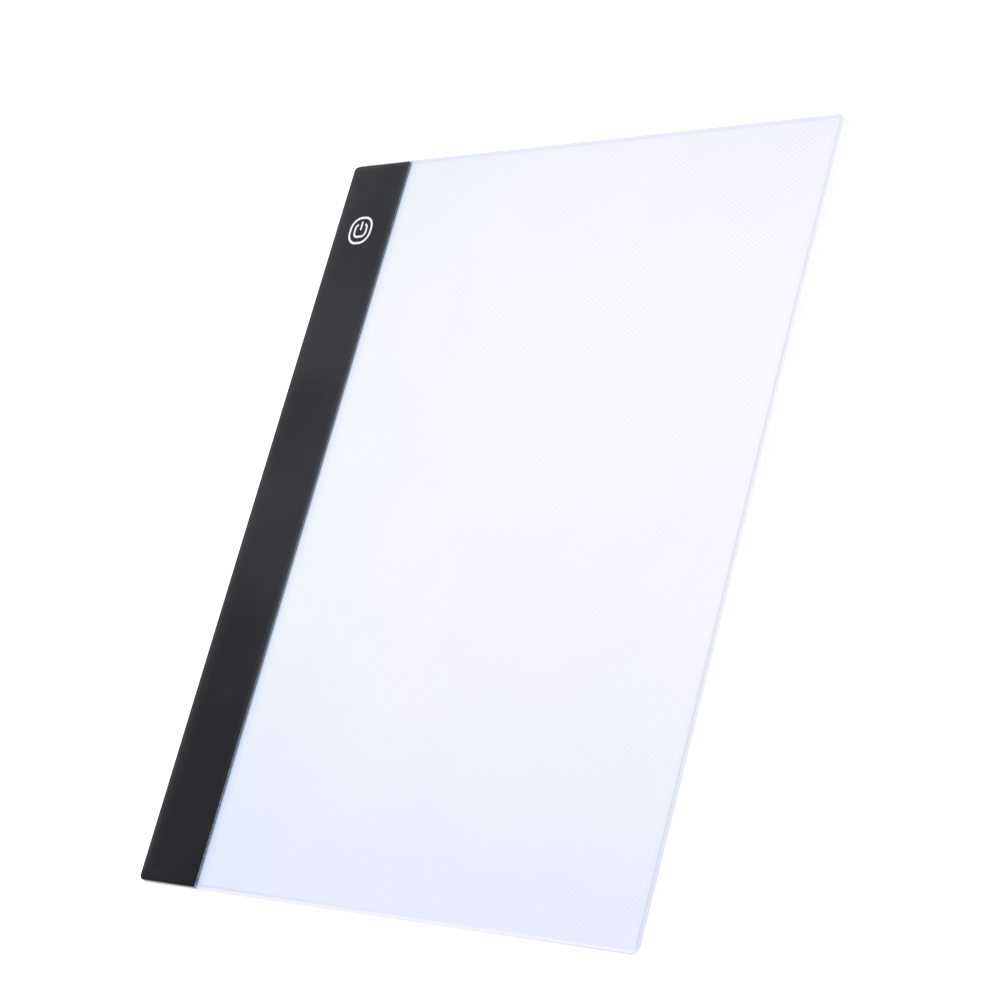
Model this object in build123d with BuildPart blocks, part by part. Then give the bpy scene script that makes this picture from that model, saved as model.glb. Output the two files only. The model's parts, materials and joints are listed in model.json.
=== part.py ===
from build123d import *
import os

# Edge-lit light pad for tracing: a thin glowing panel with a black control strip along one long side.
#
# Millimetres. The pad lies face up. X runs across the short side, with the control strip at -X. Y runs
# along the long side, with the touch key and the supply socket at the +Y end. Z is up. The origin is
# the centre of the footprint, on the surface that the feet stand on.

os.makedirs("parts", exist_ok=True)

# ---------------------------------------------------------------- driving dimensions

# The pad's outline.
PAD_WIDTH = 188.0
PAD_LENGTH = 240.0
CORNER_RADIUS = 2.4

# The stack, from the feet up.
FOOT_HEIGHT = 0.8
FLOOR_THICKNESS = 0.8
REFLECTOR_THICKNESS = 0.2
GUIDE_THICKNESS = 2.0
DIFFUSER_THICKNESS = 0.2
FACE_THICKNESS = 0.3
STRIP_TAPE_THICKNESS = 0.1
STRIP_PLATE_THICKNESS = 0.8
STRIP_FILM_THICKNESS = 0.2
MARK_THICKNESS = 0.03

# The control strip, from the pad's left edge and from its two ends.
STRIP_OUTER_INSET = 0.3
STRIP_INNER_EDGE = 24.4
STRIP_NEAR_INSET = 0.3
STRIP_FAR_INSET = 0.9
STRIP_OUTER_RADIUS = 1.6
STRIP_INNER_RADIUS = 0.6
FILM_INSET = 0.1
FILM_EDGE_ROUND = 0.12

# The rear cover's walls.
WALL = 1.0
STRIP_END_WALL = 2.0
LED_RIB_LEFT = 17.0
RIM_TAPE_THICKNESS = 0.1
REAR_EDGE_ROUND = 0.4
CROSS_RIB_COUNT = 5
CROSS_RIB_PITCH = 36.0

# Printed touch key: a rounded ring round a power sign, all of one stroke.
KEY_FROM_LEFT = 11.46
KEY_FROM_FAR = 24.64
RING_SIDE = 8.97
RING_RADIUS = 3.83
RING_STROKE = 0.76
SIGN_STROKE = 0.7

# Light source.
LED_COUNT = 36
LED_PITCH = 6.4

# ---------------------------------------------------------------- places worked out from them

LEFT, RIGHT = -PAD_WIDTH / 2, PAD_WIDTH / 2
NEAR, FAR = -PAD_LENGTH / 2, PAD_LENGTH / 2

Z_REAR = FOOT_HEIGHT
Z_FLOOR = Z_REAR + FLOOR_THICKNESS
Z_GUIDE = Z_FLOOR + REFLECTOR_THICKNESS
Z_DIFFUSER = Z_GUIDE + GUIDE_THICKNESS
Z_FACE = Z_DIFFUSER + DIFFUSER_THICKNESS
Z_TOP = Z_FACE + FACE_THICKNESS
Z_PLATE = Z_TOP + STRIP_TAPE_THICKNESS
Z_FILM = Z_PLATE + STRIP_PLATE_THICKNESS
Z_MARK = Z_FILM + STRIP_FILM_THICKNESS
Z_RIM = Z_FACE - RIM_TAPE_THICKNESS

INNER_RADIUS = CORNER_RADIUS - WALL
LED_RIB_RIGHT = LED_RIB_LEFT + WALL
FACE_LEFT = LEFT + 20.0
EDGE_PLAY = 0.3
KEY_X = LEFT + KEY_FROM_LEFT
KEY_Y = FAR - KEY_FROM_FAR


def edges_at(x_low, x_high, y_low, y_high, mode=Mode.ADD):
    """Adds the rectangle that has these four edges to the sketch being built."""
    with Locations(((x_low + x_high) / 2, (y_low + y_high) / 2)):
        Rectangle(x_high - x_low, y_high - y_low, mode=mode)


def block(x_low, x_high, y_low, y_high, z_low, z_high, mode=Mode.ADD):
    """Adds the box that has these six faces to the part being built."""
    with Locations(((x_low + x_high) / 2, (y_low + y_high) / 2, (z_low + z_high) / 2)):
        Box(x_high - x_low, y_high - y_low, z_high - z_low, mode=mode)


def round_side(sketch, side, radius):
    """Rounds the sketch's two corners on its left (0) or right (-1) side."""
    fillet(sketch.vertices().group_by(Axis.X)[side], radius)


# ---------------------------------------------------------------- rear cover
# A shallow white tray. Its wall holds the panel's stack, and a rib along the strip divides the panel's
# bay from the electronics' bay, where low cross ribs hold the strip's plate up.

SOCKET_X = LEFT + 9.0
SOCKET_GAP_WIDTH = 7.9
SOCKET_GAP_LOW, SOCKET_GAP_HIGH = Z_FLOOR - 0.3, Z_TOP - 0.4
SOCKET_POCKET_LENGTH = 7.0
WIRE_GAP_NEAR, WIRE_GAP_FAR = FAR - 48.0, FAR - 40.0

with BuildPart() as rear_cover:
    with BuildSketch(Plane.XY.offset(Z_REAR)):
        RectangleRounded(PAD_WIDTH, PAD_LENGTH, CORNER_RADIUS)
    extrude(amount=Z_TOP - Z_REAR)
    with BuildSketch(Plane.XY.offset(Z_FLOOR)) as panel_bay:
        edges_at(LEFT + LED_RIB_RIGHT, RIGHT - WALL, NEAR + WALL, FAR - WALL)
        round_side(panel_bay, -1, INNER_RADIUS)
    extrude(amount=Z_TOP - Z_FLOOR, mode=Mode.SUBTRACT)
    with BuildSketch(Plane.XY.offset(Z_FLOOR)):
        edges_at(LEFT + WALL, LEFT + LED_RIB_LEFT, NEAR + STRIP_END_WALL, FAR - STRIP_END_WALL)
    extrude(amount=Z_TOP - Z_FLOOR, mode=Mode.SUBTRACT)
    # The wall stands lower round the panel, where the rim tape and the face sheet lie on it.
    block(FACE_LEFT, RIGHT, NEAR, FAR, Z_RIM, Z_TOP, Mode.SUBTRACT)
    for number in range(CROSS_RIB_COUNT):
        rib_y = NEAR + CROSS_RIB_PITCH * (number + 1)
        block(LEFT + WALL, LEFT + LED_RIB_LEFT, rib_y - WALL / 2, rib_y + WALL / 2, Z_FLOOR, Z_TOP)
    # Where the two wires pass through the rib to the LED board.
    block(
        LEFT + LED_RIB_LEFT,
        LEFT + LED_RIB_RIGHT,
        WIRE_GAP_NEAR,
        WIRE_GAP_FAR,
        Z_FLOOR,
        Z_TOP,
        Mode.SUBTRACT,
    )
    # The socket's window in the end wall, and the thinner floor below its shell.
    block(
        SOCKET_X - SOCKET_GAP_WIDTH / 2,
        SOCKET_X + SOCKET_GAP_WIDTH / 2,
        FAR - SOCKET_POCKET_LENGTH,
        FAR,
        SOCKET_GAP_LOW,
        SOCKET_GAP_HIGH,
        Mode.SUBTRACT,
    )
    fillet(rear_cover.faces().sort_by(Axis.Z)[0].outer_wire().edges(), REAR_EDGE_ROUND)

# ---------------------------------------------------------------- rubber feet

FOOT_DIAMETER = 8.0
FOOT_INSET = 12.0
FOOT_ROUND = 0.3

with BuildPart() as rubber_feet:
    with BuildSketch():
        with GridLocations(PAD_WIDTH - 2 * FOOT_INSET, PAD_LENGTH - 2 * FOOT_INSET, 2, 2):
            Circle(FOOT_DIAMETER / 2)
    extrude(amount=FOOT_HEIGHT)
    fillet(rubber_feet.edges().group_by(Axis.Z)[0], FOOT_ROUND)

# ---------------------------------------------------------------- the panel's stack
# Reflector, light guide, diffuser and face sheet. The first three lie inside the wall with a little
# play. The face sheet is stuck on the wall's top and runs under the strip's plate.

LED_SIDE_GAP = 0.2
LED_DEPTH = 0.8
LED_BOARD_THICKNESS = 0.8
LED_TAPE_THICKNESS = 0.1
LED_BOARD_LEFT = LEFT + LED_RIB_RIGHT + LED_TAPE_THICKNESS
LED_BOARD_RIGHT = LED_BOARD_LEFT + LED_BOARD_THICKNESS
LED_FRONT = LED_BOARD_RIGHT + LED_DEPTH
GUIDE_LEFT = LED_FRONT + LED_SIDE_GAP
GUIDE_RIGHT = RIGHT - WALL - EDGE_PLAY
GUIDE_NEAR, GUIDE_FAR = NEAR + WALL + EDGE_PLAY, FAR - WALL - EDGE_PLAY
GUIDE_RADIUS = INNER_RADIUS - EDGE_PLAY
SEAL_TAPE_THICKNESS = 0.1
SEAL_TAPE_RIGHT = LEFT + 21.9
SEAL_TAPE_GAP = 0.1
DIFFUSER_LEFT = SEAL_TAPE_RIGHT + SEAL_TAPE_GAP
FACE_EDGE_ROUND = 0.12
GUIDE_POLISH = 0.15

with BuildPart() as reflector_sheet:
    with BuildSketch(Plane.XY.offset(Z_FLOOR)) as reflector_outline:
        edges_at(LED_BOARD_RIGHT + LED_SIDE_GAP, GUIDE_RIGHT, GUIDE_NEAR, GUIDE_FAR)
        round_side(reflector_outline, -1, GUIDE_RADIUS)
    extrude(amount=REFLECTOR_THICKNESS)

with BuildPart() as light_guide:
    with BuildSketch(Plane.XY.offset(Z_GUIDE)) as guide_outline:
        edges_at(GUIDE_LEFT, GUIDE_RIGHT, GUIDE_NEAR, GUIDE_FAR)
        round_side(guide_outline, -1, GUIDE_RADIUS)
    extrude(amount=GUIDE_THICKNESS)
    chamfer(light_guide.faces().sort_by(Axis.Z)[-1].outer_wire().edges(), GUIDE_POLISH)

with BuildPart() as diffuser_sheet:
    with BuildSketch(Plane.XY.offset(Z_DIFFUSER)) as diffuser_outline:
        edges_at(DIFFUSER_LEFT, GUIDE_RIGHT, GUIDE_NEAR, GUIDE_FAR)
        round_side(diffuser_outline, -1, GUIDE_RADIUS)
    extrude(amount=DIFFUSER_THICKNESS)

with BuildPart() as face_sheet:
    with BuildSketch(Plane.XY.offset(Z_FACE)) as face_outline:
        edges_at(FACE_LEFT, RIGHT, NEAR, FAR)
        round_side(face_outline, -1, CORNER_RADIUS)
    extrude(amount=FACE_THICKNESS)
    fillet(face_sheet.faces().sort_by(Axis.Z)[-1].outer_wire().edges(), FACE_EDGE_ROUND)

# Double-sided tape between the wall's top and the face sheet, on the panel's three free sides.
with BuildPart() as rim_tape:
    with BuildSketch(Plane.XY.offset(Z_RIM)) as rim_outline:
        edges_at(FACE_LEFT, RIGHT, NEAR, FAR)
        round_side(rim_outline, -1, CORNER_RADIUS)
        with BuildSketch(mode=Mode.PRIVATE) as rim_hole:
            edges_at(FACE_LEFT, RIGHT - WALL, NEAR + WALL, FAR - WALL)
            round_side(rim_hole, -1, INNER_RADIUS)
        add(rim_hole.sketch, mode=Mode.SUBTRACT)
    extrude(amount=RIM_TAPE_THICKNESS)

# Black tape that keeps the LEDs' stray light out of the strip: it covers them and the guide's edge.
with BuildPart() as light_seal_tape:
    block(
        LED_BOARD_LEFT,
        SEAL_TAPE_RIGHT,
        GUIDE_NEAR,
        GUIDE_FAR,
        Z_DIFFUSER,
        Z_DIFFUSER + SEAL_TAPE_THICKNESS,
    )

# ---------------------------------------------------------------- LED bar
# A narrow circuit board stands on edge against the rib, with a row of side-lighting LEDs facing the
# light guide. Each LED is a white housing with a yellow phosphor window.

LED_BOARD_NEAR, LED_BOARD_FAR = NEAR + 4.0, FAR - 4.0
LED_BOARD_HEIGHT = 2.1
LED_LENGTH, LED_HEIGHT = 3.0, 1.4
WINDOW_LENGTH, WINDOW_HEIGHT, WINDOW_DEPTH = 2.4, 1.0, 0.4
LED_Z = Z_GUIDE + GUIDE_THICKNESS / 2
LED_ROW_START = -LED_PITCH * (LED_COUNT - 1) / 2

with BuildPart() as led_board:
    block(
        LED_BOARD_LEFT,
        LED_BOARD_RIGHT,
        LED_BOARD_NEAR,
        LED_BOARD_FAR,
        Z_FLOOR,
        Z_FLOOR + LED_BOARD_HEIGHT,
    )

# Double-sided tape holds the board to the rib on both sides of the wires' gap.
with BuildPart() as led_board_tape:
    for tape_near, tape_far in ((LED_BOARD_NEAR, WIRE_GAP_NEAR), (WIRE_GAP_FAR, LED_BOARD_FAR)):
        block(
            LEFT + LED_RIB_RIGHT,
            LED_BOARD_LEFT,
            tape_near,
            tape_far,
            Z_FLOOR,
            Z_FLOOR + LED_BOARD_HEIGHT,
        )

with BuildPart() as led_packages:
    for number in range(LED_COUNT):
        led_y = LED_ROW_START + LED_PITCH * number
        with Locations(((LED_BOARD_RIGHT + LED_FRONT) / 2, led_y, LED_Z)):
            Box(LED_DEPTH, LED_LENGTH, LED_HEIGHT)
        with Locations((LED_FRONT - WINDOW_DEPTH / 2, led_y, LED_Z)):
            Box(WINDOW_DEPTH, WINDOW_LENGTH, WINDOW_HEIGHT, mode=Mode.SUBTRACT)

with BuildPart() as led_phosphors:
    for number in range(LED_COUNT):
        with Locations((LED_FRONT - WINDOW_DEPTH / 2, LED_ROW_START + LED_PITCH * number, LED_Z)):
            Box(WINDOW_DEPTH, WINDOW_LENGTH, WINDOW_HEIGHT)

# ---------------------------------------------------------------- control board
# It lies on foam tape at the far end of the strip, under the touch key, with a notch for the socket.

BOARD_THICKNESS = 0.8
BOARD_TAPE_THICKNESS = 0.4
Z_BOARD = Z_FLOOR + BOARD_TAPE_THICKNESS
Z_PARTS = Z_BOARD + BOARD_THICKNESS
BOARD_LEFT, BOARD_RIGHT = LEFT + 2.0, LEFT + 16.0
BOARD_LENGTH = 36.0
BOARD_FAR = FAR - STRIP_END_WALL - EDGE_PLAY
BOARD_NEAR = BOARD_FAR - BOARD_LENGTH
BOARD_TAPE_LENGTH, BOARD_TAPE_INSET = 26.0, 1.0
SHELL_WIDTH, SHELL_HEIGHT, SHELL_DEPTH, SHELL_METAL = 7.5, 2.45, 5.8, 0.25
SHELL_RECESS, SHELL_PLAY = 0.2, 0.05
SHELL_FAR = FAR - SHELL_RECESS
SHELL_NEAR = SHELL_FAR - SHELL_DEPTH
SHELL_LOW = SOCKET_GAP_LOW + SHELL_PLAY
SHELL_HIGH = SHELL_LOW + SHELL_HEIGHT
NOTCH_PLAY = 0.1

with BuildPart() as control_board:
    block(BOARD_LEFT, BOARD_RIGHT, BOARD_NEAR, BOARD_FAR, Z_BOARD, Z_PARTS)
    block(
        SOCKET_X - SHELL_WIDTH / 2 - NOTCH_PLAY,
        SOCKET_X + SHELL_WIDTH / 2 + NOTCH_PLAY,
        SHELL_NEAR - NOTCH_PLAY,
        BOARD_FAR,
        Z_BOARD,
        Z_PARTS,
        Mode.SUBTRACT,
    )

with BuildPart() as board_foam_tape:
    block(
        BOARD_LEFT + BOARD_TAPE_INSET,
        BOARD_RIGHT - BOARD_TAPE_INSET,
        BOARD_NEAR + BOARD_TAPE_INSET,
        BOARD_NEAR + BOARD_TAPE_INSET + BOARD_TAPE_LENGTH,
        Z_FLOOR,
        Z_BOARD,
    )

# ---------------------------------------------------------------- supply socket
# A micro-USB B receptacle, sunk in the board: a folded steel shell with solder tabs, a plastic tongue
# and five contacts. Its mouth faces +Y.

SHELL_BEVEL = 0.9
TAB_LENGTH, TAB_REACH = 1.0, 1.0
TABS_FROM_BACK = (1.2, 3.0)
TONGUE_WIDTH, TONGUE_THICKNESS, TONGUE_RECESS = 3.8, 0.6, 0.7
BACK_THICKNESS = 1.0
CONTACT_COUNT, CONTACT_PITCH, CONTACT_WIDTH, CONTACT_THICKNESS = 5, 0.65, 0.3, 0.1
CONTACT_TAIL, CONTACT_RECESS = 0.9, 0.3


def shell_outline(inset, mode=Mode.ADD):
    """Adds the socket's section, narrower at its bottom, drawn in XZ and shrunk by inset all round."""
    half, low, high = SHELL_WIDTH / 2 - inset, SHELL_LOW + inset, SHELL_HIGH - inset
    bevel = SHELL_BEVEL - inset / 2
    with BuildLine() as outline:
        Polyline(
            (SOCKET_X - half, high),
            (SOCKET_X - half, low + bevel),
            (SOCKET_X - half + bevel, low),
            (SOCKET_X + half - bevel, low),
            (SOCKET_X + half, low + bevel),
            (SOCKET_X + half, high),
            close=True,
        )
    make_face(outline.edges(), mode=mode)


with BuildPart() as usb_shell:
    with BuildSketch(Plane.XZ.offset(-SHELL_FAR)):
        shell_outline(0)
        shell_outline(SHELL_METAL, Mode.SUBTRACT)
    extrude(amount=SHELL_DEPTH)
    for side in (-1, 1):
        tab_x = SOCKET_X + side * (SHELL_WIDTH + TAB_REACH) / 2
        for tab_from_back in TABS_FROM_BACK:
            with Locations((tab_x, SHELL_NEAR + tab_from_back, Z_PARTS + SHELL_METAL / 2)):
                Box(TAB_REACH, TAB_LENGTH, SHELL_METAL)

Z_CONTACT = Z_PARTS
Z_TONGUE = Z_CONTACT + CONTACT_THICKNESS


def contact_strips(mode=Mode.ADD):
    """Adds the five straight contacts, from their solder tails to near the tongue's tip."""
    contact_near = SHELL_NEAR - CONTACT_TAIL
    contact_far = SHELL_FAR - TONGUE_RECESS - CONTACT_RECESS
    for number in range(CONTACT_COUNT):
        contact_x = SOCKET_X + CONTACT_PITCH * (number - (CONTACT_COUNT - 1) / 2)
        block(
            contact_x - CONTACT_WIDTH / 2,
            contact_x + CONTACT_WIDTH / 2,
            contact_near,
            contact_far,
            Z_CONTACT,
            Z_TONGUE,
            mode,
        )


with BuildPart() as usb_tongue:
    with BuildSketch(Plane.XZ.offset(-SHELL_NEAR - BACK_THICKNESS)):
        shell_outline(SHELL_METAL)
    extrude(amount=BACK_THICKNESS)
    block(
        SOCKET_X - TONGUE_WIDTH / 2,
        SOCKET_X + TONGUE_WIDTH / 2,
        SHELL_NEAR + BACK_THICKNESS,
        SHELL_FAR - TONGUE_RECESS,
        Z_TONGUE,
        Z_TONGUE + TONGUE_THICKNESS,
    )
    contact_strips(Mode.SUBTRACT)

with BuildPart() as usb_contacts:
    contact_strips()

# ---------------------------------------------------------------- parts on the control board

LEAD_THICKNESS = 0.2
LEAD_FOOT = 0.6
CHIP_X, CHIP_Y = LEFT + 6.5, FAR - 15.5
CHIP_WIDTH, CHIP_LENGTH, CHIP_HEIGHT, CHIP_CLEARANCE, CHIP_BEVEL = 3.9, 4.9, 1.3, 0.1, 0.25
CHIP_LEAD_WIDTH, CHIP_LEAD_PITCH, CHIP_LEAD_REACH, CHIP_LEAD_HEIGHT = 0.4, 1.27, 1.05, 0.8
CHIP_LEADS_A_SIDE = 4
MOSFET_X, MOSFET_Y = LEFT + 4.6, FAR - 32.6
MOSFET_WIDTH, MOSFET_LENGTH, MOSFET_HEIGHT, MOSFET_CLEARANCE, MOSFET_BEVEL = 1.3, 2.9, 0.9, 0.05, 0.15
MOSFET_LEAD_WIDTH, MOSFET_LEAD_PITCH, MOSFET_LEAD_REACH, MOSFET_LEAD_HEIGHT = 0.4, 0.95, 0.7, 0.55


def gull_lead(x_body, x_tip, y_middle, width, height):
    """Adds one bent lead, from a package's side at x_body down to a foot that ends at x_tip."""
    away = 1 if x_tip > x_body else -1
    x_foot = x_tip - away * LEAD_FOOT
    shoulder = Z_PARTS + height
    with BuildSketch(Plane.XZ.offset(-y_middle - width / 2)) as section:
        with BuildLine():
            Polyline(
                (x_body, shoulder),
                (x_foot + away * LEAD_THICKNESS, shoulder),
                (x_foot + away * LEAD_THICKNESS, Z_PARTS + LEAD_THICKNESS),
                (x_tip, Z_PARTS + LEAD_THICKNESS),
                (x_tip, Z_PARTS),
                (x_foot, Z_PARTS),
                (x_foot, shoulder - LEAD_THICKNESS),
                (x_body, shoulder - LEAD_THICKNESS),
                close=True,
            )
        make_face()
    extrude(section.sketch, amount=width)


# The touch dimmer: an eight-lead chip that reads the key and drives the transistor.
with BuildPart() as touch_chip:
    with Locations((CHIP_X, CHIP_Y, Z_PARTS + CHIP_CLEARANCE + CHIP_HEIGHT / 2)):
        Box(CHIP_WIDTH, CHIP_LENGTH, CHIP_HEIGHT)
    chamfer(touch_chip.edges().group_by(Axis.Z)[-1], CHIP_BEVEL)

with BuildPart() as touch_chip_leads:
    for side in (-1, 1):
        chip_side = CHIP_X + side * CHIP_WIDTH / 2
        chip_lead_tip = chip_side + side * CHIP_LEAD_REACH
        for number in range(CHIP_LEADS_A_SIDE):
            lead_y = CHIP_Y + CHIP_LEAD_PITCH * (number - (CHIP_LEADS_A_SIDE - 1) / 2)
            gull_lead(chip_side, chip_lead_tip, lead_y, CHIP_LEAD_WIDTH, CHIP_LEAD_HEIGHT)

# The transistor that switches the LEDs.
with BuildPart() as mosfet:
    with Locations((MOSFET_X, MOSFET_Y, Z_PARTS + MOSFET_CLEARANCE + MOSFET_HEIGHT / 2)):
        Box(MOSFET_WIDTH, MOSFET_LENGTH, MOSFET_HEIGHT)
    chamfer(mosfet.edges().group_by(Axis.Z)[-1], MOSFET_BEVEL)

with BuildPart() as mosfet_leads:
    for side, row in ((-1, (-1, 1)), (1, (0,))):
        mosfet_side = MOSFET_X + side * MOSFET_WIDTH / 2
        mosfet_lead_tip = mosfet_side + side * MOSFET_LEAD_REACH
        for place in row:
            lead_y = MOSFET_Y + place * MOSFET_LEAD_PITCH
            gull_lead(mosfet_side, mosfet_lead_tip, lead_y, MOSFET_LEAD_WIDTH, MOSFET_LEAD_HEIGHT)


# The small parts: first one's centre, the step from one to the next, their number and their size.
BALLAST_FIRST, BALLAST_STEP, BALLAST_COUNT = (LEFT + 8.1, FAR - 32.4), (2.2, 0), 4
BALLAST_SIZE = (1.6, 3.2, 0.55)
SIGNAL_FIRST, SIGNAL_STEP, SIGNAL_COUNT = (LEFT + 4.4, FAR - 22.0), (0, -2.4), 3
SIGNAL_SIZE = (1.6, 0.8, 0.45)
CAPACITOR_FIRST, CAPACITOR_STEP, CAPACITOR_COUNT = (LEFT + 12.8, FAR - 13.0), (0, -3.0), 2
CAPACITOR_SIZE = (2.0, 1.25, 0.85)
SMALL_PART_ROUND = 0.08


def small_parts(first, step, count, size):
    """Adds a row of equal surface-mount parts with slightly rounded upright edges."""
    for number in range(count):
        centre_x, centre_y = first[0] + step[0] * number, first[1] + step[1] * number
        with Locations((centre_x, centre_y, Z_PARTS + size[2] / 2)):
            Box(*size)
    fillet(edges().filter_by(Axis.Z), SMALL_PART_ROUND)


with BuildPart() as ballast_resistors:
    small_parts(BALLAST_FIRST, BALLAST_STEP, BALLAST_COUNT, BALLAST_SIZE)

with BuildPart() as signal_resistors:
    small_parts(SIGNAL_FIRST, SIGNAL_STEP, SIGNAL_COUNT, SIGNAL_SIZE)

with BuildPart() as capacitors:
    small_parts(CAPACITOR_FIRST, CAPACITOR_STEP, CAPACITOR_COUNT, CAPACITOR_SIZE)

# ---------------------------------------------------------------- touch key
# A copper pad on the board and a conductive foam that carries it up to the underside of the plate.

ELECTRODE_DIAMETER, ELECTRODE_THICKNESS = 8.6, 0.05
FOAM_DIAMETER = 7.6

with BuildPart() as touch_electrode:
    with BuildSketch(Plane.XY.offset(Z_PARTS)):
        with Locations((KEY_X, KEY_Y)):
            Circle(ELECTRODE_DIAMETER / 2)
    extrude(amount=ELECTRODE_THICKNESS)

with BuildPart() as touch_foam:
    with BuildSketch(Plane.XY.offset(Z_PARTS + ELECTRODE_THICKNESS)):
        with Locations((KEY_X, KEY_Y)):
            Circle(FOAM_DIAMETER / 2)
    extrude(amount=Z_PLATE - Z_PARTS - ELECTRODE_THICKNESS)

# ---------------------------------------------------------------- wires and their solder
# Two insulated wires leave the board's near end side by side, turn through the gap in the rib and end
# on the back of the LED board.

WIRE_DIAMETER = 0.8
WIRE_Z = Z_PARTS + WIRE_DIAMETER / 2
WIRE_START_Y = BOARD_NEAR + 1.6
SOLDER_WIDTH, SOLDER_LENGTH, SOLDER_HEIGHT, SOLDER_ROUND = 1.4, 1.2, 0.9, 0.25
LED_SOLDER_LENGTH = 0.6
WIRE_END_X = LED_BOARD_LEFT - LED_SOLDER_LENGTH
ARC_SHARE = 0.45


def wire(x_start, y_end):
    """Adds a wire that runs in -Y from the board, bends once and runs in +X to the LED board."""
    arc_radius = ARC_SHARE * min(WIRE_END_X - x_start, WIRE_START_Y - y_end)
    start, end = (x_start, WIRE_START_Y, WIRE_Z), (WIRE_END_X, y_end, WIRE_Z)
    with BuildLine() as route:
        FilletPolyline(start, (x_start, y_end, WIRE_Z), end, radius=arc_radius)
    with BuildSketch(Plane(origin=start, z_dir=(0, -1, 0))) as section:
        Circle(WIRE_DIAMETER / 2)
    sweep(section.sketch, path=route.wire())
    print("wire bend radius", round(arc_radius, 2))


WIRE_ENDS = {"positive": (LEFT + 13.2, WIRE_GAP_FAR - 2.0), "negative": (LEFT + 10.2, WIRE_GAP_NEAR + 2.0)}

with BuildPart() as lead_positive:
    wire(*WIRE_ENDS["positive"])

with BuildPart() as lead_negative:
    wire(*WIRE_ENDS["negative"])

with BuildPart() as solder_joints:
    for x_start, y_end in WIRE_ENDS.values():
        with Locations((x_start, WIRE_START_Y + SOLDER_LENGTH / 2, Z_PARTS + SOLDER_HEIGHT / 2)):
            Box(SOLDER_WIDTH, SOLDER_LENGTH, SOLDER_HEIGHT)
        with Locations((LED_BOARD_LEFT - LED_SOLDER_LENGTH / 2, y_end, WIRE_Z)):
            Box(LED_SOLDER_LENGTH, SOLDER_WIDTH, SOLDER_HEIGHT)
    fillet(solder_joints.edges().filter_by(Axis.Z), SOLDER_ROUND)

# ---------------------------------------------------------------- control strip
# A translucent plate stuck over the electronics' bay and the face sheet's edge, with a matte black
# film on it. The film ends a hair inside the plate, whose pale cut edge shows.


def strip_outline(sketch, inset):
    """Adds the strip's outline, shrunk by inset, to the sketch and rounds its corners."""
    edges_at(
        LEFT + STRIP_OUTER_INSET + inset,
        LEFT + STRIP_INNER_EDGE - inset,
        NEAR + STRIP_NEAR_INSET + inset,
        FAR - STRIP_FAR_INSET - inset,
    )
    round_side(sketch, 0, STRIP_OUTER_RADIUS - inset)
    round_side(sketch, -1, STRIP_INNER_RADIUS - inset)


TAPE_INSET = 0.2

with BuildPart() as strip_tape:
    with BuildSketch(Plane.XY.offset(Z_TOP)) as tape_outline:
        strip_outline(tape_outline, TAPE_INSET)
        edges_at(
            LEFT + WALL,
            LEFT + LED_RIB_LEFT,
            NEAR + STRIP_END_WALL,
            FAR - STRIP_END_WALL,
            Mode.SUBTRACT,
        )
    extrude(amount=STRIP_TAPE_THICKNESS)

with BuildPart() as strip_plate:
    with BuildSketch(Plane.XY.offset(Z_PLATE)) as plate_outline:
        strip_outline(plate_outline, 0)
    extrude(amount=STRIP_PLATE_THICKNESS)

with BuildPart() as strip_film:
    with BuildSketch(Plane.XY.offset(Z_FILM)) as film_outline:
        strip_outline(film_outline, FILM_INSET)
    extrude(amount=STRIP_FILM_THICKNESS)
    fillet(strip_film.faces().sort_by(Axis.Z)[-1].outer_wire().edges(), FILM_EDGE_ROUND)

# ---------------------------------------------------------------- printed mark
# White ink: a rounded ring, and in it an open loop with an upright bar in its gap.

LOOP_HALF = 2.47
LOOP_LOW, LOOP_HIGH = -2.22, 2.27
LOOP_RADIUS = 1.65
LOOP_END_ANGLE = 65
BAR_LOW, BAR_HIGH = 0.1, 3.2

with BuildPart() as power_mark:
    with BuildSketch(Plane.XY.offset(Z_MARK)):
        with Locations((KEY_X, KEY_Y)):
            RectangleRounded(RING_SIDE + RING_STROKE, RING_SIDE + RING_STROKE, RING_RADIUS + RING_STROKE / 2)
            RectangleRounded(
                RING_SIDE - RING_STROKE,
                RING_SIDE - RING_STROKE,
                RING_RADIUS - RING_STROKE / 2,
                mode=Mode.SUBTRACT,
            )
            with Locations((0, (BAR_LOW + BAR_HIGH) / 2)):
                SlotOverall(BAR_HIGH - BAR_LOW, SIGN_STROKE, rotation=90)
    with BuildSketch(Plane((KEY_X, KEY_Y, Z_MARK))):
        with BuildLine() as loop:
            corner_x = LOOP_HALF - LOOP_RADIUS
            right_top = CenterArc((corner_x, LOOP_HIGH - LOOP_RADIUS), LOOP_RADIUS, 0, LOOP_END_ANGLE)
            right_side = Line(right_top @ 0, (LOOP_HALF, LOOP_LOW + LOOP_RADIUS))
            right_low = CenterArc((corner_x, LOOP_LOW + LOOP_RADIUS), LOOP_RADIUS, -90, 90)
            Line(right_low @ 0, (0, LOOP_LOW))
            mirror(about=Plane.YZ)
        trace(line_width=SIGN_STROKE)
    extrude(amount=MARK_THICKNESS)

# ---------------------------------------------------------------- files

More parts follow.
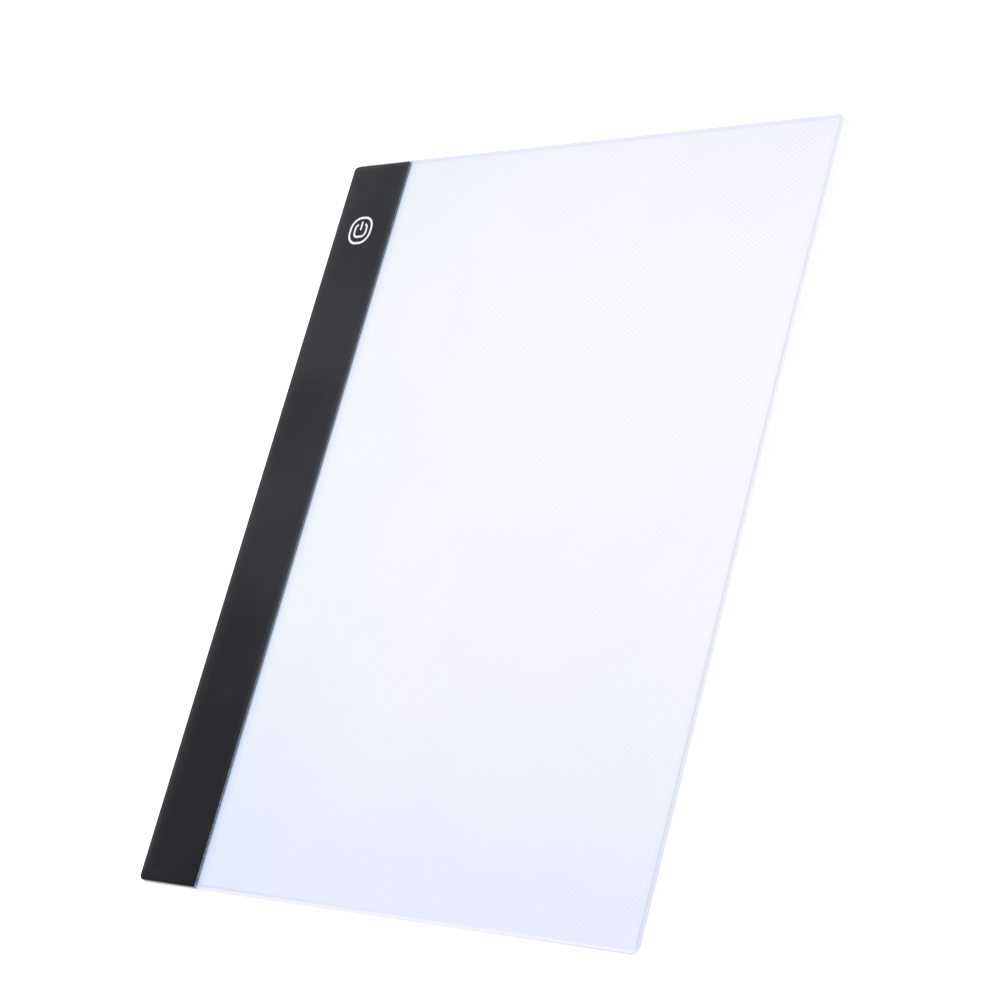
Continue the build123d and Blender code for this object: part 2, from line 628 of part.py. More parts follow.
PIECES = {
    "rear_cover": rear_cover,
    "rubber_feet": rubber_feet,
    "reflector_sheet": reflector_sheet,
    "light_guide": light_guide,
    "diffuser_sheet": diffuser_sheet,
    "face_sheet": face_sheet,
    "rim_tape": rim_tape,
    "light_seal_tape": light_seal_tape,
    "led_board": led_board,
    "led_board_tape": led_board_tape,
    "led_packages": led_packages,
    "led_phosphors": led_phosphors,
    "control_board": control_board,
    "board_foam_tape": board_foam_tape,
    "usb_shell": usb_shell,
    "usb_tongue": usb_tongue,
    "usb_contacts": usb_contacts,
    "touch_chip": touch_chip,
    "touch_chip_leads": touch_chip_leads,
    "mosfet": mosfet,
    "mosfet_leads": mosfet_leads,
    "ballast_resistors": ballast_resistors,
    "signal_resistors": signal_resistors,
    "capacitors": capacitors,
    "touch_electrode": touch_electrode,
    "touch_foam": touch_foam,
    "lead_positive": lead_positive,
    "lead_negative": lead_negative,
    "solder_joints": solder_joints,
    "strip_tape": strip_tape,
    "strip_plate": strip_plate,
    "strip_film": strip_film,
    "power_mark": power_mark,
}

for name, piece in PIECES.items():
    piece.part.label = name
    export_step(piece.part, f"parts/{name}.step")
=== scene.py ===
import json
from math import cos, radians, sin

import bpy
from mathutils import Matrix, Vector


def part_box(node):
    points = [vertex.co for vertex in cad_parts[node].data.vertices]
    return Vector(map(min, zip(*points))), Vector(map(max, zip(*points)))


# A lit tracing pad on a white table. Metres, in the frame of the CAD model: X across the pad with the
# black strip at -X, Y along it with the touch key at +Y, Z up. Materials count in millimetres from the
# same origin.

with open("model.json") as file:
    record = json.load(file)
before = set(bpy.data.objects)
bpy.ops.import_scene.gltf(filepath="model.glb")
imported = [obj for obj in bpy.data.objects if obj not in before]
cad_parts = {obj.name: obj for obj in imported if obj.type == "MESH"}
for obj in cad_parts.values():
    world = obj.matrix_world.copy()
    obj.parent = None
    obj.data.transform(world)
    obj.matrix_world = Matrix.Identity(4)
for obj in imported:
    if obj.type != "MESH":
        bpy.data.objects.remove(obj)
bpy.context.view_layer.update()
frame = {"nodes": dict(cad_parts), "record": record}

MM = 0.001


def box_mm(node):
    """A node's lowest and highest corner in millimetres."""
    low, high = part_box(node)
    return low / MM, high / MM


face_low, face_high = box_mm("face_sheet")
_, plate_high = box_mm("strip_plate")
film_low, film_high = box_mm("strip_film")


# ---------------------------------------------------------------- camera, table and light


def make_camera():
    """Looks down on the pad from beyond its right near corner, rolled so that its far end is uppermost."""
    place = Vector((0.50042, -0.21143, 0.52957))
    aim = Vector((0.00648, 0.0034, face_high.z * MM))
    roll = radians(57.716)
    forward = (aim - place).normalized()
    level_right = forward.cross(Vector((0, 0, 1))).normalized()
    level_up = level_right.cross(forward)
    up = cos(roll) * level_up + sin(roll) * level_right
    right = forward.cross(up)
    data = bpy.data.cameras.new("camera")
    data.sensor_width = 36.0
    data.lens = 94.55
    data.clip_start, data.clip_end = 0.01, 50.0
    camera = bpy.data.objects.new("camera", data)
    turned = Matrix((right, up, -forward)).transposed().to_4x4()
    camera.matrix_world = Matrix.Translation(place) @ turned
    bpy.context.scene.collection.objects.link(camera)
    bpy.context.scene.camera = camera


def make_softbox(name, place, size, energy):
    """A square soft light at place, turned to the pad."""
    data = bpy.data.lights.new(name, "AREA")
    data.size = size
    data.energy = energy
    softbox = bpy.data.objects.new(name, data)
    softbox.location = place
    softbox.rotation_euler = (-Vector(place)).to_track_quat("-Z", "Y").to_euler()
    bpy.context.scene.collection.objects.link(softbox)


def make_lights():
    """White surroundings, a soft light overhead, one beyond the far left corner and a low one in front."""
    world = bpy.data.worlds.new("studio")
    bpy.context.scene.world = world
    world.use_nodes = True
    background = world.node_tree.nodes["Background"]
    background.inputs["Color"].default_value = (1.0, 1.0, 1.0, 1.0)
    background.inputs["Strength"].default_value = 0.45
    make_softbox("overhead", (0.1, 0.0, 1.5), 1.4, 8.0)
    make_softbox("far_left", (-1.0, 0.9, 1.0), 1.0, 6.0)
    make_softbox("front_fill", (1.3, -1.3, 0.7), 1.2, 17.0)


# ---------------------------------------------------------------- node graphs

# Nearly all of a noise is between these.
USUAL_NOISE = (0.3, 0.7)


class Graph:
    """One material and short ways to add nodes to it. Sources are sockets or plain values."""

    def __init__(self, name):
        self.material = bpy.data.materials.new(name)
        self.material.use_nodes = True
        self.tree = self.material.node_tree
        self.shader = self.tree.nodes["Principled BSDF"]
        coordinates = self.add("ShaderNodeTexCoord")
        self.place = self.vector("SCALE", coordinates.outputs["Object"], Scale=1 / MM)
        split = self.add("ShaderNodeSeparateXYZ")
        self.feed(split.inputs[0], self.place)
        self.x, self.y, _ = split.outputs

    def add(self, kind, **settings):
        """Adds a node with these settings."""
        node = self.tree.nodes.new(kind)
        for name, value in settings.items():
            setattr(node, name, value)
        return node

    def feed(self, socket, source):
        """Links a socket to the input, or sets its plain value."""
        if isinstance(source, bpy.types.NodeSocket):
            self.tree.links.new(source, socket)
        elif socket.type == "RGBA":
            socket.default_value = (*source, 1.0)
        else:
            socket.default_value = source

    def math(self, operation, *sources):
        """One number from one, two or three."""
        node = self.add("ShaderNodeMath", operation=operation)
        for socket, source in zip(node.inputs, sources):
            self.feed(socket, source)
        return node.outputs[0]

    def vector(self, operation, *sources, **named):
        """One vector from one or two."""
        node = self.add("ShaderNodeVectorMath", operation=operation)
        for socket, source in zip(node.inputs, sources):
            self.feed(socket, source)
        for name, source in named.items():
            self.feed(node.inputs[name], source)
        return node.outputs[0]

    def ramp(self, source, low, high, to_low=0.0, to_high=1.0):
        """A smooth step: to_low where source is under low, to_high where it is over high."""
        node = self.add("ShaderNodeMapRange", interpolation_type="SMOOTHSTEP")
        for socket, value in zip(node.inputs, (source, low, high, to_low, to_high)):
            self.feed(socket, value)
        return node.outputs[0]

    def spread(self, noise, to_low=0.0, to_high=1.0):
        """A noise's usual range brought to to_low and to_high."""
        return self.ramp(noise, *USUAL_NOISE, to_low, to_high)

    def band(self, source, middle, half, soft):
        """1 where source is within half of middle, falling to 0 over soft on each side."""
        away = self.math("ABSOLUTE", self.math("SUBTRACT", source, middle))
        return self.ramp(away, half, half + soft, 1.0, 0.0)

    def inward(self, low, high, radius):
        """Millimetres in from the outline of the upright round-cornered box between two corners."""
        beyond = []
        for along, start, end in ((self.x, low[0], high[0]), (self.y, low[1], high[1])):
            from_middle = self.math("ABSOLUTE", self.math("SUBTRACT", along, (start + end) / 2))
            beyond.append(self.math("SUBTRACT", from_middle, (end - start) / 2 - radius))
        squares = [self.math("POWER", self.math("MAXIMUM", part, 0.0), 2.0) for part in beyond]
        corner = self.math("SQRT", self.math("ADD", *squares))
        side = self.math("MINIMUM", self.math("MAXIMUM", *beyond), 0.0)
        return self.math("SUBTRACT", radius, self.math("ADD", corner, side))

    def noise(self, scale, detail=2.0, roughness=0.5, stretch=(1, 1, 1)):
        """Noise about 0.5, with scale features in a millimetre, and stretch times as many along an axis."""
        node = self.add("ShaderNodeTexNoise")
        self.feed(node.inputs["Vector"], self.vector("MULTIPLY", self.place, stretch))
        self.feed(node.inputs["Scale"], scale)
        self.feed(node.inputs["Detail"], detail)
        self.feed(node.inputs["Roughness"], roughness)
        return node.outputs["Fac"]

    def cells(self, scale, feature="F1"):
        """Distance from the nearest of random points, or from the edges between them."""
        node = self.add("ShaderNodeTexVoronoi", feature=feature)
        self.feed(node.inputs["Vector"], self.place)
        self.feed(node.inputs["Scale"], scale)
        return node.outputs["Distance"]

    def mix(self, share, first, second):
        """The colour share of the way from first to second."""
        node = self.add("ShaderNodeMix", data_type="RGBA")
        self.feed(node.inputs[0], share)
        self.feed(node.inputs[6], first)
        self.feed(node.inputs[7], second)
        return node.outputs[2]

    def dim(self, colour, mask, losses):
        """The colour, with these shares of its red, green and blue lost where mask is 1."""
        lost = self.vector("SCALE", losses, Scale=mask)
        return self.vector("MULTIPLY", colour, self.vector("SUBTRACT", (1, 1, 1), lost))

    def bump(self, height, depth):
        """A normal from a height from 0 to 1 that stands for depth millimetres."""
        node = self.add("ShaderNodeBump")
        self.feed(node.inputs["Distance"], depth * MM)
        self.feed(node.inputs["Height"], height)
        return node.outputs["Normal"]

    def finish(self, **inputs):
        """Feeds the shader's inputs, named with _ for a space, and gives the material."""
        for name, source in inputs.items():
            self.feed(self.shader.inputs[name.replace("_", " ")], source)
        return self.material


# ---------------------------------------------------------------- the lit panel

# The light guide's dots: the pitch of their grid, their radius, and how much they are drawn out along
# one diagonal.
DOT_PITCH_X, DOT_PITCH_Y = 2.128, 1.464
DOT_RADIUS = 0.32
DOT_LEAN = 0.45


def dot_lattice(g):
    """1 on the light guide's dots: a grid of them, and one more in the middle of each of its cells."""
    layers = []
    for shift in (0.0, 0.5):
        offsets, squares = [], []
        for along, pitch in ((g.x, DOT_PITCH_X), (g.y, DOT_PITCH_Y)):
            turns = g.math("ADD", g.math("DIVIDE", along, pitch), shift)
            offset = g.math("MULTIPLY", g.math("SUBTRACT", g.math("FRACT", turns), 0.5), pitch)
            offsets.append(offset)
            squares.append(g.math("MULTIPLY", offset, offset))
        lean = g.math("MULTIPLY", *offsets)
        away = g.math("SQRT", g.math("MULTIPLY_ADD", lean, DOT_LEAN, g.math("ADD", *squares)))
        layers.append(g.ramp(away, DOT_RADIUS * 0.5, DOT_RADIUS * 1.5, 1.0, 0.0))
    return g.math("MAXIMUM", *layers)


# The glow is fullest on a line across the panel and fades towards both ends.
BRIGHTEST_Y = 45.0
FADE_LENGTH = 153.0
FULL_GLOW = (0.566, 0.567, 0.602)
FADED_GLOW = (0.443, 0.468, 0.592)
UNLIT_FACE = (0.40, 0.40, 0.41)

# The tray's inner edge shows through the face as a rim: how far in it is from each edge of the panel, how
# much nearer the outline it comes at the far end, and the radius of its corners and of the panel's own.
RIM_FROM_RIGHT, RIM_FROM_NEAR, RIM_FROM_FAR = 1.1, 1.2, 1.3
RIM_DRIFT = 0.2
RIM_CORNER = 1.2
FACE_CORNER = 2.4


def nearest_edge(g):
    """Two masks, each 1 where the panel's near end or far end is nearer than its right side."""
    from_right = g.math("SUBTRACT", face_high.x, g.x)
    masks = []
    for from_end in (g.math("SUBTRACT", g.y, face_low.y), g.math("SUBTRACT", face_high.y, g.y)):
        masks.append(g.ramp(g.math("SUBTRACT", from_end, from_right), -1.0, 1.0, 1.0, 0.0))
    return masks


def edge_marks(g):
    """The marks along the panel's edges, among them a painted shade on the face sheet's rounded outer edge,
    each as how strong it is and the red, green and blue it takes.
    """
    near_side, far_side = nearest_edge(g)

    def by_edge(right, near, far):
        """One of three numbers, by the edge of the panel that is nearest."""
        number = g.math("MULTIPLY_ADD", near_side, g.math("SUBTRACT", near, right), right)
        return g.math("MULTIPLY_ADD", far_side, g.math("SUBTRACT", far, right), number)

    beyond_strip = Vector((-2 * face_high.x, face_low.y))
    from_edge = g.inward(beyond_strip, face_high, FACE_CORNER)
    rim_low = beyond_strip + Vector((0, RIM_FROM_NEAR))
    rim_high = face_high - Vector((RIM_FROM_RIGHT, RIM_FROM_FAR, 0))
    from_rim = g.inward(rim_low, rim_high, RIM_CORNER)
    from_rim = g.math("ADD", from_rim, g.ramp(g.y, 30.0, 110.0, 0.0, RIM_DRIFT))

    margin = g.ramp(from_rim, -0.4, 0.0, 1.0, 0.0)
    rim = g.band(from_rim, 0.0, 0.15, 0.5)
    inside_rim = g.band(from_rim, 0.8, 0.3, 0.9)
    # painted shade on the face sheet's rounded outer edge
    outline = g.band(from_edge, 0.15, 0.1, 0.25)
    rim_right = g.ramp(g.y, 50.0, 110.0, 0.15, 0.1)
    rim_near = g.ramp(g.x, -65.0, 45.0, 0.10, 0.01)
    edge_shade_right = g.ramp(g.y, -120.0, 90.0, 0.08, 0.03)
    edge_shade_near = g.ramp(g.x, 20.0, 90.0, 0.055, 0.15)
    towards_far = g.ramp(g.y, -110.0, 60.0)
    marks = [
        (g.math("MULTIPLY", margin, by_edge(0.04, -0.10, 0.05)), (1.0, 0.7, 0.15)),
        (
            g.math("MULTIPLY", rim, by_edge(rim_right, rim_near, 0.095)),
            g.mix(towards_far, (1.0, 0.96, 0.92), (1.0, 0.98, 0.62)),
        ),
        # painted shade on the face sheet's rounded outer edge
        (
            g.math("MULTIPLY", outline, by_edge(edge_shade_right, edge_shade_near, 0.06)),
            g.mix(near_side, (1.0, 1.1, 1.7), (1.0, 1.0, 1.1)),
        ),
        (g.math("MULTIPLY", inside_rim, by_edge(0.025, 0.0, 0.02)), (1.0, 0.9, 0.2)),
    ]
    return marks, from_rim


def strip_marks(g):
    """The strip's shade on the panel: a dark foot, a soft shadow beside it and a wide faint one."""
    from_strip = g.math("SUBTRACT", g.x, plate_high.x)
    return [
        (g.ramp(from_strip, 0.0, 0.8, 1.0, 0.0), (0.25, 0.23, 0.16)),
        (g.ramp(from_strip, 0.2, 4.2, 1.0, 0.0), (0.11, 0.065, 0.0)),
        (g.ramp(from_strip, 0.0, 70.0, 1.0, 0.0), (0.03, 0.015, 0.0)),
    ]


def lit_face():
    """The top sheet, lit from within: the guide's dots and its rim show through it as darker marks, and
    painted shade lies beside the strip and along the sheet's rounded outer edge.
    """
    g = Graph("lit_face")
    mottle = g.noise(0.02, detail=3.0)
    grain = g.noise(1.6, detail=3.0)
    marks, from_rim = edge_marks(g)
    dots = g.math("MULTIPLY", dot_lattice(g), g.ramp(from_rim, 0.3, 1.0))
    dots = g.math("MULTIPLY", dots, g.ramp(g.noise(0.05), 0.35, 0.65, 0.55, 1.0))
    dots = g.math("MULTIPLY", dots, g.ramp(g.y, -100.0, 110.0, 0.85, 1.3))
    marks += strip_marks(g)
    marks += [
        (g.spread(mottle), (0.015, 0.01, 0.0)),
        (dots, (0.065, 0.065, 0.053)),
        (g.spread(grain), (0.012, 0.012, 0.012)),
        (g.ramp(g.y, 65.0, 120.0), (0.012, 0.006, 0.0)),
    ]

    def marked(colour):
        """The colour with all the marks on it."""
        for mask, losses in marks:
            colour = g.dim(colour, mask, losses)
        return colour

    faded = g.math("DIVIDE", g.math("SUBTRACT", g.y, BRIGHTEST_Y), FADE_LENGTH)
    faded = g.math("MULTIPLY", faded, faded)
    return g.finish(
        Base_Color=marked(UNLIT_FACE),
        Emission_Color=marked(g.mix(faded, FULL_GLOW, FADED_GLOW)),
        Emission_Strength=1.0,
        Roughness=g.spread(grain, 0.6, 0.68),
        Normal=g.bump(grain, 0.004),
        Specular_IOR_Level=0.06,
    )


# ---------------------------------------------------------------- the control strip

# The film's black, from the pad's near end to its far end, with a painted sheen making it paler towards the
# far end, and the colour of the painted highlight along its inner and outer long edge.
FILM_NEAR = (0.0180, 0.0178, 0.0222)
FILM_MIDDLE = (0.0348, 0.0350, 0.0408)
FILM_FAR = (0.0370, 0.0378, 0.0443)
HIGHLIGHT_INNER = (0.054, 0.059, 0.071)
HIGHLIGHT_OUTER = (0.061, 0.061, 0.063)
FILM_SPECK = (0.04, 0.04, 0.044)
FILM_CORNER = 1.5

# How far the painted highlight goes in from the film's inner and outer edge, and how far its faint painted
# haze does.
HIGHLIGHT_REACH_INNER, HIGHLIGHT_REACH_OUTER = 2.0, 2.2
HAZE_REACH = 6.0


def film_edge_highlight(g, grain, outer_half):
    """How strong the film's painted highlight is: along its edges, with a faint painted haze over the outer
    half, and less so towards its inner near corner.
    """
    from_edge = g.inward(film_low, film_high, FILM_CORNER)
    reach = g.ramp(outer_half, 0.0, 1.0, HIGHLIGHT_REACH_INNER, HIGHLIGHT_REACH_OUTER)
    highlight = g.ramp(g.math("DIVIDE", from_edge, reach), 0.1, 1.0, 0.8, 0.0)
    highlight = g.math("MULTIPLY", highlight, g.ramp(grain, 0.2, 0.8, 0.7, 1.0))
    # painted haze of light, reaching further in over the film's outer half
    haze = g.ramp(from_edge, 0.0, HAZE_REACH, 0.33, 0.0)
    highlight = g.math("MULTIPLY_ADD", haze, outer_half, highlight)
    away_from_near_end = g.ramp(g.y, -110.0, -20.0)
    kept = g.math("MAXIMUM", g.math("MULTIPLY", outer_half, 0.9), away_from_near_end)
    kept = g.math("MULTIPLY", kept, g.ramp(g.math("SUBTRACT", g.y, film_low.y), 0.0, 4.0))
    return g.math("MULTIPLY", highlight, kept)


def black_film():
    """Matte black film: a fine even grain, with a painted sheen paler towards the far end and a painted
    highlight along its edges.
    """
    g = Graph("black_film")
    grain = g.noise(5.0, detail=3.0, roughness=0.6)
    cloud = g.noise(0.03, detail=3.0)
    specks = g.ramp(g.noise(2.2, detail=1.0), 0.72, 0.78)
    outer_half = g.ramp(g.x, film_low.x + 6.0, film_high.x - 6.0, 1.0, 0.0)
    # painted sheen: the film's black is paler towards the far end
    colour = g.mix(g.ramp(g.y, -110.0, 15.0), FILM_NEAR, FILM_MIDDLE)
    colour = g.mix(g.ramp(g.y, 10.0, 120.0), colour, FILM_FAR)
    colour = g.dim(colour, g.spread(cloud, 0.15, -0.15), (1.0, 1.0, 1.0))
    colour = g.mix(g.math("MULTIPLY", specks, 0.3), colour, FILM_SPECK)
    highlight_colour = g.mix(outer_half, HIGHLIGHT_INNER, HIGHLIGHT_OUTER)
    # painted highlight along the film's edges, with its faint painted haze
    colour = g.mix(film_edge_highlight(g, grain, outer_half), colour, highlight_colour)
    return g.finish(
        Base_Color=colour,
        Roughness=g.spread(grain, 0.5, 0.6),
        Normal=g.bump(grain, 0.012),
        Specular_IOR_Level=0.05,
    )


def translucent_plate():
    """Milky plate with fine upright saw marks, chipped on the side that the panel lights, where that light
    is painted on as a cooler tint.
    """
    g = Graph("translucent_plate")
    saw = g.noise(2.0, detail=3.0, stretch=(1, 1, 0.1))
    beside_panel = g.ramp(g.x, plate_high.x - 1.0, plate_high.x - 0.2)
    colour = g.mix(g.spread(saw), (0.20, 0.195, 0.19), (0.25, 0.245, 0.235))
    # painted light: the cool tint of the panel's light on the plate's side beside it
    colour = g.mix(g.math("MULTIPLY", beside_panel, 0.9), colour, (0.113, 0.133, 0.174))
    chips = g.ramp(g.noise(1.3, detail=1.0), 0.5, 0.62)
    chips = g.math("MULTIPLY", chips, g.ramp(g.y, -120.0, -40.0, 0.8, 0.12))
    colour = g.mix(g.math("MULTIPLY", chips, beside_panel), colour, (0.30, 0.32, 0.39))
    return g.finish(
        Base_Color=colour,
        Roughness=g.spread(saw, 0.42, 0.6),
        Normal=g.bump(saw, 0.02),
    )


def white_ink():
    """Screen print: dense white, thinner at spots, with the mesh's faint relief."""
    g = Graph("white_ink")
    thin = g.ramp(g.noise(1.6, detail=3.0), 0.6, 0.8)
    colour = g.mix(g.math("MULTIPLY", thin, 0.12), (0.97, 0.97, 0.98), (0.6, 0.61, 0.64))
    return g.finish(
        Base_Color=colour,
        Roughness=g.ramp(thin, 0.0, 1.0, 0.5, 0.65),
        Normal=g.bump(g.cells(9.0), 0.006),
    )


# ---------------------------------------------------------------- plastics, foams and films

# How many times as wide as its grain a moulding's colour drift is.
DRIFT_WIDTH = 40


def moulded(name, dark, light, roughness, grain_scale=2.5, relief=0.01, **inputs):
    """A moulded or coated surface: slow colour drift, fine grain and light scuffs."""
    g = Graph(name)
    grain = g.noise(grain_scale, detail=3.0, roughness=0.6)
    drift = g.noise(grain_scale / DRIFT_WIDTH, detail=3.0)
    scuffs = g.ramp(g.noise(0.4, detail=4.0, stretch=(0.2, 2.5, 1)), 0.66, 0.74)
    colour = g.mix(g.spread(drift), dark, light)
    colour = g.dim(colour, scuffs, (0.075, 0.075, 0.075))
    return g.finish(
        Base_Color=colour,
        Roughness=g.spread(grain, roughness - 0.06, roughness + 0.06),
        Normal=g.bump(grain, relief),
        **inputs,
    )


def white_shell():
    """White satin moulding."""
    return moulded("white_shell", (0.785, 0.785, 0.78), (0.81, 0.81, 0.805), 0.5)


def clear_rubber():
    """Clear silicone with dust in its skin."""
    dark, light = (0.80, 0.82, 0.83), (0.88, 0.89, 0.90)
    return moulded("clear_rubber", dark, light, 0.3, relief=0.02, Transmission_Weight=0.6)


def reflector_film():
    """White film with faint streaks along its roll."""
    return moulded("reflector_film", (0.88, 0.88, 0.89), (0.93, 0.93, 0.94), 0.35, relief=0.004)


def diffuser_film():
    """Frosted sheet."""
    return moulded("diffuser_film", (0.84, 0.86, 0.89), (0.90, 0.91, 0.94), 0.7, grain_scale=6.0)


def clear_tape():
    """Double-sided tape with trapped air."""
    g = Graph("clear_tape")
    bubbles = g.ramp(g.cells(0.9), 0.18, 0.3, 1.0, 0.0)
    colour = g.mix(bubbles, (0.72, 0.72, 0.66), (0.86, 0.86, 0.83))
    return g.finish(
        Base_Color=colour,
        Roughness=g.ramp(bubbles, 0.0, 1.0, 0.25, 0.5),
        Normal=g.bump(bubbles, 0.03),
    )


# Radians of the weave's wave in a millimetre.
THREAD_WAVE = 18.0


def black_tape():
    """Black tape with a fine crossed weave."""
    g = Graph("black_tape")
    threads = [g.math("SINE", g.math("MULTIPLY", along, THREAD_WAVE)) for along in (g.x, g.y)]
    weave = g.ramp(g.math("MULTIPLY", *threads), -1.0, 1.0)
    colour = g.mix(weave, (0.012, 0.012, 0.013), (0.03, 0.03, 0.032))
    return g.finish(
        Base_Color=colour,
        Roughness=g.ramp(weave, 0.0, 1.0, 0.55, 0.75),
        Normal=g.bump(weave, 0.03),
    )


def foam(name, pore, wall):
    """Closed-cell foam: pores between paler walls."""
    g = Graph(name)
    walls = g.ramp(g.cells(3.0, "DISTANCE_TO_EDGE"), 0.02, 0.12, 1.0, 0.0)
    return g.finish(
        Base_Color=g.mix(walls, pore, wall),
        Roughness=g.ramp(walls, 0.0, 1.0, 0.95, 0.8),
        Normal=g.bump(walls, 0.08),
    )


def foam_tape():
    """White foam."""
    return foam("foam_tape", (0.62, 0.62, 0.60), (0.82, 0.82, 0.80))


def conductive_foam():
    """Black conductive foam."""
    return foam("conductive_foam", (0.012, 0.012, 0.013), (0.06, 0.06, 0.065))


def clear_acrylic():
    """Polished acrylic with the white dots that let its light out."""
    g = Graph("clear_acrylic")
    dots = dot_lattice(g)
    haze = g.noise(0.1, detail=3.0)
    return g.finish(
        Base_Color=g.mix(dots, (0.90, 0.95, 0.97), (0.88, 0.89, 0.90)),
        Roughness=g.math("MULTIPLY_ADD", dots, 0.5, g.spread(haze, 0.04, 0.1)),
        Transmission_Weight=g.ramp(dots, 0.0, 1.0, 0.8, 0.1),
        Normal=g.bump(dots, 0.02),
        IOR=1.49,
    )


def black_plastic():
    """Moulded black epoxy or nylon."""
    return moulded("black_plastic", (0.018, 0.018, 0.019), (0.028, 0.028, 0.03), 0.5, grain_scale=8.0)


def led_housing():
    """Glossy white housing."""
    return moulded("led_housing", (0.84, 0.83, 0.80), (0.90, 0.89, 0.87), 0.25, grain_scale=8.0)


def led_phosphor():
    """Silicone with yellow phosphor grains, lit from below."""
    g = Graph("led_phosphor")
    grains = g.noise(14.0, detail=3.0)
    colour = g.mix(g.ramp(grains, 0.35, 0.65), (0.80, 0.62, 0.10), (0.95, 0.85, 0.30))
    return g.finish(
        Base_Color=colour,
        Emission_Color=g.mix(g.ramp(grains, 0.35, 0.65), (0.75, 0.85, 1.0), (0.95, 0.97, 1.0)),
        Emission_Strength=1.5,
        Roughness=g.spread(grains, 0.25, 0.4),
        Normal=g.bump(grains, 0.01),
    )


def wire_skin(name, dark, light):
    """Extruded insulation with faint lines along it."""
    return moulded(name, dark, light, 0.35, grain_scale=4.0, relief=0.006)


def red_wire():
    """Red insulation."""
    return wire_skin("red_wire", (0.45, 0.012, 0.01), (0.58, 0.02, 0.015))


def black_wire():
    """Black insulation."""
    return wire_skin("black_wire", (0.015, 0.015, 0.016), (0.028, 0.028, 0.03))


# ---------------------------------------------------------------- circuit boards and their parts

# The tracks' pitch in millimetres, and their half width and soft edge as shares of it.
TRACK_PITCH = 0.8
TRACK_HALF, TRACK_SOFT = 0.14, 0.06

# A chip part's caps begin at this share of its length from its middle.
CAP_START = 0.35


def circuit_board(name, mask, over_copper, edge):
    """Solder mask, paler over the tracks: along the board in some areas and across it in others."""
    g = Graph(name)
    tracks = []
    for along in (g.x, g.y):
        turns = g.math("FRACT", g.math("DIVIDE", along, TRACK_PITCH))
        tracks.append(g.band(turns, 0.5, TRACK_HALF, TRACK_SOFT))
    areas = g.ramp(g.noise(0.16), 0.49, 0.51)
    along_board = g.math("MULTIPLY", tracks[0], areas)
    across_board = g.math("MULTIPLY", tracks[1], g.math("SUBTRACT", 1.0, areas))
    copper = g.math("ADD", along_board, across_board)
    copper = g.math("MULTIPLY", copper, g.ramp(g.noise(0.3, detail=1.0), 0.42, 0.46))
    geometry = g.add("ShaderNodeNewGeometry")
    facing = g.add("ShaderNodeSeparateXYZ")
    g.feed(facing.inputs[0], geometry.outputs["True Normal"])
    on_side = g.ramp(g.math("ABSOLUTE", facing.outputs[2]), 0.3, 0.5, 1.0, 0.0)
    colour = g.mix(copper, mask, over_copper)
    colour = g.mix(on_side, colour, edge)
    return g.finish(
        Base_Color=colour,
        Roughness=g.ramp(on_side, 0.0, 1.0, 0.28, 0.75),
        Normal=g.bump(copper, 0.035),
    )


def green_circuit_board():
    """Green mask on a woven glass board."""
    mask, over_copper, edge = (0.012, 0.10, 0.035), (0.03, 0.22, 0.07), (0.35, 0.36, 0.16)
    return circuit_board("green_circuit_board", mask, over_copper, edge)


def white_circuit_board():
    """White mask on a woven glass board."""
    mask, over_copper, edge = (0.78, 0.78, 0.75), (0.86, 0.86, 0.83), (0.55, 0.53, 0.38)
    return circuit_board("white_circuit_board", mask, over_copper, edge)


def end_capped(node, along, length, dark, light):
    """Chip parts in a row across `along` (0 for X): ceramic bodies with tinned caps at their two ends."""
    g = Graph(node)
    low, high = box_mm(node)
    from_middle = g.math("ABSOLUTE", g.math("SUBTRACT", (g.x, g.y)[along], (low[along] + high[along]) / 2))
    cap = g.ramp(from_middle, length * (CAP_START - 0.01), length * (CAP_START + 0.01))
    grain = g.noise(8.0, detail=3.0)
    body = g.mix(g.spread(grain), dark, light)
    tin = g.mix(g.spread(grain), (0.62, 0.62, 0.61), (0.76, 0.76, 0.75))
    return g.finish(
        Base_Color=g.mix(cap, body, tin),
        Metallic=cap,
        Roughness=g.spread(grain, 0.3, 0.45),
        Normal=g.bump(grain, 0.01),
    )


# ---------------------------------------------------------------- metals


def metal(name, dark, light, roughness, stretch, relief=0.004):
    """Bare or plated metal, with rolling or polishing lines along the axis that stretch makes longest."""
    g = Graph(name)
    lines = g.noise(6.0, detail=4.0, stretch=stretch)
    tarnish = g.ramp(g.noise(0.7, detail=3.0), 0.45, 0.75)
    colour = g.mix(g.spread(lines), dark, light)
    polish = g.spread(lines, roughness, roughness + 0.12)
    return g.finish(
        Base_Color=g.dim(colour, tarnish, (0.1, 0.13, 0.18)),
        Metallic=1.0,
        Roughness=g.math("MULTIPLY_ADD", tarnish, 0.1, polish),
        Normal=g.bump(lines, relief),
    )


def plated_steel():
    """Nickel on rolled steel."""
    return metal("plated_steel", (0.52, 0.51, 0.49), (0.66, 0.65, 0.63), 0.24, (1, 0.08, 1))


def gold_contact():
    """Thin gold on stamped contacts."""
    return metal("gold_contact", (0.80, 0.56, 0.20), (0.92, 0.68, 0.30), 0.2, (1, 0.08, 1))


def tinned_metal():
    """Solder-dipped leads and joints."""
    return metal("tinned_metal", (0.60, 0.60, 0.60), (0.74, 0.74, 0.74), 0.28, (1, 1, 1), relief=0.02)


def copper():
    """Etched copper foil."""
    return metal("copper", (0.66, 0.30, 0.17), (0.80, 0.42, 0.26), 0.32, (1, 0.3, 1))


# ---------------------------------------------------------------- stage


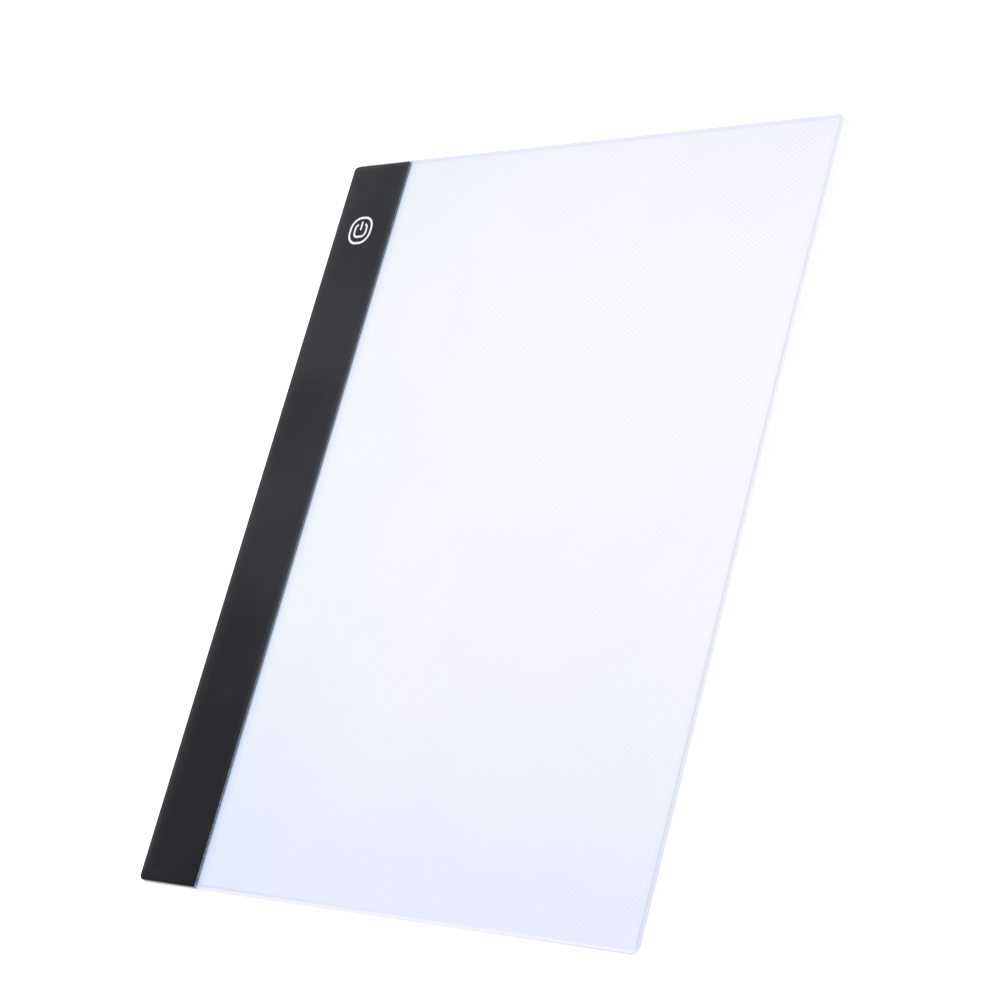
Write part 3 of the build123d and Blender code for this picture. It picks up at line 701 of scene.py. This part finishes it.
def make_floor():
    """A wide white table, lit enough from below to stay white under the pad's edge."""
    half = 6.0
    corners = [(-half, -half, 0), (half, -half, 0), (half, half, 0), (-half, half, 0)]
    mesh = bpy.data.meshes.new("floor")
    mesh.from_pydata(corners, [], [(0, 1, 2, 3)])
    floor = bpy.data.objects.new("floor", mesh)
    bpy.context.scene.collection.objects.link(floor)
    g = Graph("table_white")
    grain = g.noise(0.4, detail=3.0)
    mesh.materials.append(
        g.finish(
            Base_Color=g.mix(grain, (0.80, 0.80, 0.80), (0.84, 0.84, 0.84)),
            Roughness=g.spread(grain, 0.75, 0.85),
            Specular_IOR_Level=0.1,
            Emission_Color=(1.0, 1.0, 1.0),
            Emission_Strength=0.6,
        )
    )


# ---------------------------------------------------------------- the scene

# Chip parts by node: the axis that they lie along, 0 for X, their length and two shades of their body.
END_CAPPED = {
    "ballast_resistors": (1, 3.2, (0.012, 0.012, 0.014), (0.03, 0.03, 0.034)),
    "signal_resistors": (0, 1.6, (0.012, 0.012, 0.014), (0.03, 0.03, 0.034)),
    "capacitors": (0, 2.0, (0.36, 0.24, 0.13), (0.48, 0.34, 0.20)),
}

FINISHES = {
    "white_shell": white_shell,
    "clear_rubber": clear_rubber,
    "reflector_film": reflector_film,
    "clear_acrylic": clear_acrylic,
    "diffuser_film": diffuser_film,
    "lit_face": lit_face,
    "clear_tape": clear_tape,
    "black_tape": black_tape,
    "white_circuit_board": white_circuit_board,
    "led_housing": led_housing,
    "led_phosphor": led_phosphor,
    "green_circuit_board": green_circuit_board,
    "foam_tape": foam_tape,
    "plated_steel": plated_steel,
    "black_plastic": black_plastic,
    "gold_contact": gold_contact,
    "tinned_metal": tinned_metal,
    "copper": copper,
    "conductive_foam": conductive_foam,
    "red_wire": red_wire,
    "black_wire": black_wire,
    "translucent_plate": translucent_plate,
    "black_film": black_film,
    "white_ink": white_ink,
}


def dress_nodes():
    """Gives each CAD node the material of its slot in the record, made once for all nodes that share it."""
    made = {}
    for subpart in frame["record"]["subparts"]:
        node, slot = subpart["node"], subpart["material_slot"]
        if node in END_CAPPED:
            material = end_capped(node, *END_CAPPED[node])
        else:
            if slot not in made:
                made[slot] = FINISHES[slot]()
            material = made[slot]
        for material_slot in frame["nodes"][node].material_slots:
            material_slot.material = material


make_camera()
make_lights()
make_floor()
dress_nodes()

view = bpy.context.scene.view_settings
view.view_transform = "Standard"
view.look = "None"
